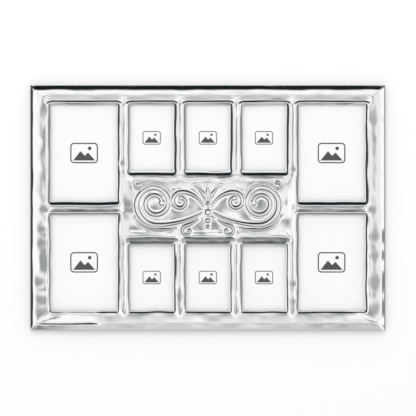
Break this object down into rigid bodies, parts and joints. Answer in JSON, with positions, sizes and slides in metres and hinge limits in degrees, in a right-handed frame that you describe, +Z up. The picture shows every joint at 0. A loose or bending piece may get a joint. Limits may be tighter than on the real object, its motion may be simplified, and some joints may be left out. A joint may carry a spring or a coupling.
{
  "type": "collage photo frame",
  "caption": "Wall-hung collage photo frame: embossed silver sheet over a wooden core, glazed windows in two sizes, turn buttons and swinging hanger rings behind.",
  "frame": {"origin": "centre of the back plane that lies against the wall", "axes": "+X to the right seen from the front, +Z up, the front faces -Y and the wall is on the +Y side"},
  "size_m": [0.467, 0.0147, 0.322],
  "materials": {
    "silver_sheet": "polished silver, softly hammered",
    "core_board": "dark stained fibreboard",
    "glass": "clear float glass",
    "photo_card": "white coated card",
    "backing_board": "brown hardboard",
    "steel_hardware": "zinc plated"
  },
  "bodies": {
    "frame": {"backing_board_large_bottom_left": "backing_board", "backing_board_large_bottom_right": "backing_board", "backing_board_large_top_left": "backing_board", "backing_board_large_top_right": "backing_board", "backing_board_small_bottom_left": "backing_board", "backing_board_small_bottom_middle": "backing_board", "backing_board_small_bottom_right": "backing_board", "backing_board_small_top_left": "backing_board", "backing_board_small_top_middle": "backing_board", "backing_board_small_top_right": "backing_board", "core_panel": "core_board", "front_sheet": "silver_sheet", "glass_large_bottom_left": "glass", "glass_large_bottom_right": "glass", "glass_large_top_left": "glass", "glass_large_top_right": "glass", "glass_small_bottom_left": "glass", "glass_small_bottom_middle": "glass", "glass_small_bottom_right": "glass", "glass_small_top_left": "glass", "glass_small_top_middle": "glass", "glass_small_top_right": "glass", "hanger_screws": "steel_hardware", "hanger_strap_left": "steel_hardware", "hanger_strap_right": "steel_hardware", "photo_card_large_bottom_left": "photo_card", "photo_card_large_bottom_right": "photo_card", "photo_card_large_top_left": "photo_card", "photo_card_large_top_right": "photo_card", "photo_card_small_bottom_left": "photo_card", "photo_card_small_bottom_middle": "photo_card", "photo_card_small_bottom_right": "photo_card", "photo_card_small_top_left": "photo_card", "photo_card_small_top_middle": "photo_card", "photo_card_small_top_right": "photo_card", "turn_button_screws": "steel_hardware"},
    "hanger_ring_left": {"hanger_ring_left": "steel_hardware"},
    "hanger_ring_right": {"hanger_ring_right": "steel_hardware"},
    "turn_button_bottom_1": {"turn_button_bottom_1": "steel_hardware"},
    "turn_button_bottom_2": {"turn_button_bottom_2": "steel_hardware"},
    "turn_button_bottom_3": {"turn_button_bottom_3": "steel_hardware"},
    "turn_button_bottom_4": {"turn_button_bottom_4": "steel_hardware"},
    "turn_button_left_lower": {"turn_button_left_lower": "steel_hardware"},
    "turn_button_left_middle": {"turn_button_left_middle": "steel_hardware"},
    "turn_button_left_upper": {"turn_button_left_upper": "steel_hardware"},
    "turn_button_right_lower": {"turn_button_right_lower": "steel_hardware"},
    "turn_button_right_middle": {"turn_button_right_middle": "steel_hardware"},
    "turn_button_right_upper": {"turn_button_right_upper": "steel_hardware"},
    "turn_button_top_1": {"turn_button_top_1": "steel_hardware"},
    "turn_button_top_2": {"turn_button_top_2": "steel_hardware"},
    "turn_button_top_3": {"turn_button_top_3": "steel_hardware"},
    "turn_button_top_4": {"turn_button_top_4": "steel_hardware"}
  },
  "joints": [
    {"name": "hanger_ring_left_swing", "type": "hinge", "parent": "frame", "child": "hanger_ring_left", "pos_m": [-0.21818, -0.00164, 0.118], "axis": [1, 0, 0], "range_deg": [0, 180]},
    {"name": "hanger_ring_right_swing", "type": "hinge", "parent": "frame", "child": "hanger_ring_right", "pos_m": [0.21818, -0.00164, 0.118], "axis": [1, 0, 0], "range_deg": [0, 180]},
    {"name": "turn_button_bottom_1_turn", "type": "hinge", "parent": "frame", "child": "turn_button_bottom_1", "pos_m": [-0.111, -0.00275, -0.092], "axis": [0, 1, 0], "continuous": true},
    {"name": "turn_button_bottom_2_turn", "type": "hinge", "parent": "frame", "child": "turn_button_bottom_2", "pos_m": [-0.037, -0.00275, -0.092], "axis": [0, 1, 0], "continuous": true},
    {"name": "turn_button_bottom_3_turn", "type": "hinge", "parent": "frame", "child": "turn_button_bottom_3", "pos_m": [0.037, -0.00275, -0.092], "axis": [0, 1, 0], "continuous": true},
    {"name": "turn_button_bottom_4_turn", "type": "hinge", "parent": "frame", "child": "turn_button_bottom_4", "pos_m": [0.111, -0.00275, -0.092], "axis": [0, 1, 0], "continuous": true},
    {"name": "turn_button_left_lower_turn", "type": "hinge", "parent": "frame", "child": "turn_button_left_lower", "pos_m": [-0.215, -0.00275, -0.072], "axis": [0, 1, 0], "continuous": true},
    {"name": "turn_button_left_middle_turn", "type": "hinge", "parent": "frame", "child": "turn_button_left_middle", "pos_m": [-0.163, -0.00275, 0], "axis": [0, 1, 0], "continuous": true},
    {"name": "turn_button_left_upper_turn", "type": "hinge", "parent": "frame", "child": "turn_button_left_upper", "pos_m": [-0.215, -0.00275, 0.072], "axis": [0, 1, 0], "continuous": true},
    {"name": "turn_button_right_lower_turn", "type": "hinge", "parent": "frame", "child": "turn_button_right_lower", "pos_m": [0.215, -0.00275, -0.072], "axis": [0, 1, 0], "continuous": true},
    {"name": "turn_button_right_middle_turn", "type": "hinge", "parent": "frame", "child": "turn_button_right_middle", "pos_m": [0.163, -0.00275, 0], "axis": [0, 1, 0], "continuous": true},
    {"name": "turn_button_right_upper_turn", "type": "hinge", "parent": "frame", "child": "turn_button_right_upper", "pos_m": [0.215, -0.00275, 0.072], "axis": [0, 1, 0], "continuous": true},
    {"name": "turn_button_top_1_turn", "type": "hinge", "parent": "frame", "child": "turn_button_top_1", "pos_m": [-0.111, -0.00275, 0.092], "axis": [0, 1, 0], "continuous": true},
    {"name": "turn_button_top_2_turn", "type": "hinge", "parent": "frame", "child": "turn_button_top_2", "pos_m": [-0.037, -0.00275, 0.092], "axis": [0, 1, 0], "continuous": true},
    {"name": "turn_button_top_3_turn", "type": "hinge", "parent": "frame", "child": "turn_button_top_3", "pos_m": [0.037, -0.00275, 0.092], "axis": [0, 1, 0], "continuous": true},
    {"name": "turn_button_top_4_turn", "type": "hinge", "parent": "frame", "child": "turn_button_top_4", "pos_m": [0.111, -0.00275, 0.092], "axis": [0, 1, 0], "continuous": true}
  ]
}
